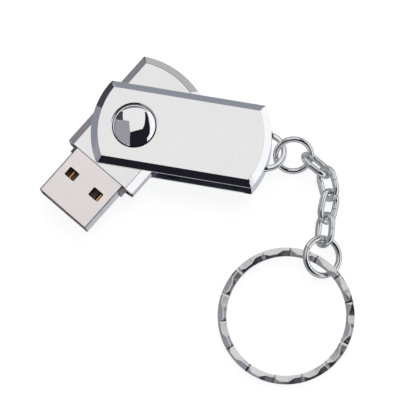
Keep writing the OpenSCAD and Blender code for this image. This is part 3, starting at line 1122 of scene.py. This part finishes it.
# Each chip: for each pair of its rows of leads whether they run along X, the leads in a row, the
# room that the rows leave at the corners, and how far its case is set in along X and Y
CHIPS = {
    "controller_chip": ((True, False), 12, LEAD_L + 0.1, (0.4, 0.4)),
    "memory_chip": ((False,), 24, 0, (0.4, 0.02)),
}
CASE_LIFT = 0.06
CASE_EDGE = 0.12
CASE_CORNER = 0.1
# The marking dimple's cutter, as (radius, height over the case's top)
DIMPLE = [(0.2, -0.05), (0.28, 0.2)]
DIMPLE_FROM_CORNER = 1.0


def leads(low, high, count, along_x, corner):
    """Rows of flat leads on two opposite sides of a chip, clear of its corners."""
    run, out = (0, 1) if along_x else (1, 0)
    pitch = (high[run] - low[run] - 2 * corner) / count
    made = []
    for i in range(count):
        middle = low[run] + corner + pitch * (i + 0.5)
        for outset in ((low[out], low[out] + LEAD_L), (high[out] - LEAD_L, high[out])):
            near, far = low.copy(), low.copy()
            near[run], far[run] = middle - pitch / 4, middle + pitch / 4
            near[out], far[out] = outset
            far.z = low.z + LEAD_T
            made.append(block(near, far, LEAD_EDGE, steps=1))
    return made


def make_chip(node, rows, count, corner, case_inset):
    """A moulded case with a marking dimple near one corner, and its leads."""
    low, high = local_box(node, DRIVE)
    inset = Vector((*case_inset, 0))
    case_foot = low + inset + Vector((0, 0, CASE_LIFT))
    case = block(case_foot, high - inset, CASE_EDGE, CASE_CORNER)
    dimple_at = low.x + DIMPLE_FROM_CORNER, low.y + DIMPLE_FROM_CORNER
    dimple = lathe([(r, high.z + z) for r, z in DIMPLE], sides=32, centre=dimple_at)
    solids = [carve(case, [dimple])]
    for along_x in rows:
        solids += leads(low, high, count, along_x, corner)
    case_low, case_high = low + inset * 0.98, high - inset * 0.98

    def is_lead(face):
        p = face.calc_center_median()
        over_case = case_low.x < p.x < case_high.x and case_low.y < p.y < case_high.y
        return p.z < low.z + LEAD_T + NEAR and not over_case

    finish_piece(node + "_case", node, DRIVE, join(solids), [("solder", is_lead)])


def make_chips():
    for node, facts in CHIPS.items():
        make_chip(node, *facts)


FLANGE_T = 0.2
FLANGE_W = 0.2
FLANGE_EDGE = 0.04
FLANGE_CORNER = 0.5
CAN_CORNER = 0.55


def make_crystal():
    """A drawn can on its flange."""
    low, high = local_box("crystal", DRIVE)
    flange_high = Vector((high.x, high.y, low.z + FLANGE_T))
    flange = block(low, flange_high, FLANGE_EDGE, FLANGE_CORNER)
    inset = Vector((FLANGE_W, FLANGE_W, 0))
    can = block(low + inset, high - inset, CASE_EDGE, CAN_CORNER, 4)
    finish_piece("crystal_case", "crystal", DRIVE, carve(flange, [can], "UNION"))


# A metal cap's share of a chip part's length, how far it stands out, its edge, and the
# tolerance of the test of its faces
CAP_SHARE = 0.2
CAP_OUT = 0.02
CAP_EDGE = 0.03
CAP_NEAR = 0.001


def make_chip_part_row(node):
    """Ceramic blocks with a metal cap on each end."""
    boxes = island_boxes(node, DRIVE)
    solids = []
    for low, high in boxes:
        cap = (high.x - low.x) * CAP_SHARE
        inset = Vector((cap / 2, CAP_OUT, CAP_OUT))
        solids.append(block(low + inset, high - inset, CAP_EDGE))
        solids.append(block(low, Vector((low.x + cap, high.y, high.z)), CAP_EDGE))
        solids.append(block(Vector((high.x - cap, low.y, low.z)), high, CAP_EDGE))

    def is_cap(face):
        p = face.calc_center_median()
        for low, high in boxes:
            if low.x - NEAR <= p.x <= high.x + NEAR and low.y - NEAR <= p.y <= high.y + NEAR:
                cap = (high.x - low.x) * CAP_SHARE
                return p.x < low.x + cap + CAP_NEAR or p.x > high.x - cap - CAP_NEAR
        return False

    finish_piece(node + "_row", node, DRIVE, join(solids), [("solder", is_cap)])


def make_chip_parts():
    for node in ("capacitors", "resistors"):
        make_chip_part_row(node)


# The angle at which a bead's dome ends short of its top, and the corners of its foot
BEAD_END = 1.45
BEAD_CORNER = 0.2


def make_solder():
    """Domed beads, each on a rectangular foot."""
    beads = []
    for low, high in island_boxes("solder_joints", DRIVE):
        middle, half = (low + high) / 2, (high - low) / 2
        loops = []
        for t in between(0, BEAD_END, 8):
            x, y = half.x * math.cos(t), half.y * math.cos(t)
            z = low.z + 2 * half.z * math.sin(t)
            square = [(-x, -y), (x, -y), (x, y), (-x, y)]
            outline = rounded(square, BEAD_CORNER * math.cos(t), closed=True)
            loops.append([(middle.x + p.x, middle.y + p.y, z) for p in outline])
        beads.append(loft(loops))
    finish_piece("solder_beads", "solder_joints", DRIVE, join(beads))


# ---- chain ----

LINKS = range(1, 5)
CHAIN = ["loop_jump_ring"] + [f"chain_link_{i}" for i in LINKS] + ["end_jump_ring"]
CHAIN_JOINTS = (
    ["loop_swing"] + [f"link_{i}_swing" for i in LINKS] + ["end_ring_swing", "split_ring_swing"]
)
# Where each piece hangs in the one before it
HOOKS = [Vector(joints[name]["pos_m"]) for name in CHAIN_JOINTS]
WIRE_SQUARENESS = 2.3
# The fine cut in each piece, and the bevel at the wire's two ends: its length, and the share of
# the wire's radius that it leaves
CUT_W = 0.05
BEVEL_L = 0.06
BEVEL_SHARE = 0.86
RING_CUT_AT = math.radians(250)
RING_STEPS = 120
LINK_END_STEPS = 30


def flat_frame(node, origin, along):
    """The frame of a flat piece: X along a direction, Z across the plane that it lies in."""
    points = np.array([v.co for v in frame["nodes"][node].data.vertices])
    spread = np.cov((points - points.mean(0)).T)
    across = Vector(np.linalg.eigh(spread)[1][:, 0])
    if across.z < 0:
        across.negate()
    x = (along - across * along.dot(across)).normalized()
    axes = Matrix((x, across.cross(x), across)).transposed()
    return Matrix.Translation(origin) @ axes.to_4x4()


def wire(path, radius):
    """An open wire along (point, outward) stations, with its two ends bevelled."""
    loops = []
    for i, (point, out) in enumerate(path):
        share = BEVEL_SHARE if i in (0, len(path) - 1) else 1
        loops.append(section_at(point, out, bar_section(radius * share, WIRE_SQUARENESS, 36)))
    return loft(loops)


def ring_path(radius):
    """Once round a circle, from one side of its cut to the other."""
    half_cut = CUT_W / 2 / radius
    bevel = BEVEL_L / radius
    turns = between(half_cut + bevel, TURN - half_cut - bevel, RING_STEPS)
    ways = [heading(RING_CUT_AT + t) for t in [half_cut] + turns + [TURN - half_cut]]
    return [(way * radius, way) for way in ways]


def link_path(radius, straight):
    """Once round a long link, from one side of its cut in a straight side to the other."""
    side = Vector((0, 1, 0))
    path = [(Vector((-CUT_W / 2 - back, radius, 0)), side) for back in (0, BEVEL_L)]
    for turn, centre in ((TURN / 4, -straight / 2), (-TURN / 4, straight / 2)):
        for t in between(turn, turn + TURN / 2, LINK_END_STEPS):
            path.append((Vector((centre, 0, 0)) + heading(t) * radius, heading(t)))
    return path + [(Vector((CUT_W / 2 + back, radius, 0)), side) for back in (BEVEL_L, 0)]


def make_chain():
    for i, node in enumerate(CHAIN):
        middle = (HOOKS[i] + HOOKS[i + 1]) / 2
        place = flat_frame(node, middle, HOOKS[i + 1] - HOOKS[i])
        low, high = local_box(node, place)
        radius = (high.z - low.z) / 2
        bend = (high.y - low.y) / 2 - radius
        straight = high.x - low.x - (high.y - low.y)
        path = link_path(bend, straight) if "link" in node else ring_path(bend)
        finish_piece(node + "_wire", node, place, wire(path, radius))


# ---- split ring ----

# The flat wire's width and thickness, and the gap between its two turns
SPLIT_WIRE = Vector((1.6, 0.72))
COIL_GAP = 0.04
# Keeps the finer mesh inside the CAD node's box
RING_CLEAR = 0.005
# Where the wire climbs from the lower turn to the upper one, and the angle that this takes
STEP_AT = math.radians(21)
STEP_ANGLE = math.radians(24)
# Diamond cuts: how often in a turn the ridge along the wire wanders from side to side, and how
# many sections apart the nicks across it are
FACETS = 14
FACET_STEPS = 24
# The ridge: how far it wanders to a side, how suddenly it crosses over, its width, how far the
# wire's edges lie below it, and the depth of the nicks
RIDGE_SWING = 0.30
RIDGE_SNAP = 2.4
RIDGE_W = 0.22
EDGE_DROP = 0.22
NICK = 0.16


def cut_section(ridge, nick):
    """The flat wire's section: slopes fall from a narrow ridge to both edges, above and below."""
    half_w, half_t = SPLIT_WIRE.x / 2, SPLIT_WIRE.y / 2
    edge = half_t - EDGE_DROP
    top = half_t - nick
    above = [(half_w, edge), (ridge + RIDGE_W / 2, top), (ridge - RIDGE_W / 2, top), (-half_w, edge)]
    return above + [(a, -b) for a, b in reversed(above)]


def make_split_ring():
    low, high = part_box("split_ring")
    place = flat_frame("split_ring", (low + high) / 2, Vector((1, 0, 0)))
    low, high = local_box("split_ring", place)
    radius = (high.y - low.y) / 2 - SPLIT_WIRE.x / 2 - RING_CLEAR
    rise = SPLIT_WIRE.y + COIL_GAP
    loops = []
    count = 2 * FACETS * FACET_STEPS
    for i, t in enumerate(between(STEP_ANGLE / 2, 2 * TURN - STEP_ANGLE / 2, count)):
        climb = (t - TURN + STEP_ANGLE / 2) / STEP_ANGLE
        z = rise * (min(max(climb, 0), 1) - 0.5)
        phase = t / TURN * FACETS
        swing = RIDGE_SNAP * (4 * abs(phase % 1 - 0.5) - 1)
        ridge = RIDGE_SWING * min(max(swing, -1), 1)
        way = heading(t + STEP_AT)
        nick = NICK if 0 < i < count and i % FACET_STEPS == 0 else 0
        loops.append(section_at(way * radius + Vector((0, 0, z)), way, cut_section(ridge, nick)))
    finish_piece("key_ring_coil", "split_ring", place, loft(loops))


# ---- the scene ----

make_camera()
make_world()
make_lights()
make_floor()
bpy.context.scene.view_settings.view_transform = "Standard"

make_cover()
make_shells()
make_dome()
make_foot()
make_ring_pairs()
make_plug()
make_insulator()
make_contacts()
make_carrier()
make_board()
make_chips()
make_crystal()
make_chip_parts()
make_solder()
make_chain()
make_split_ring()
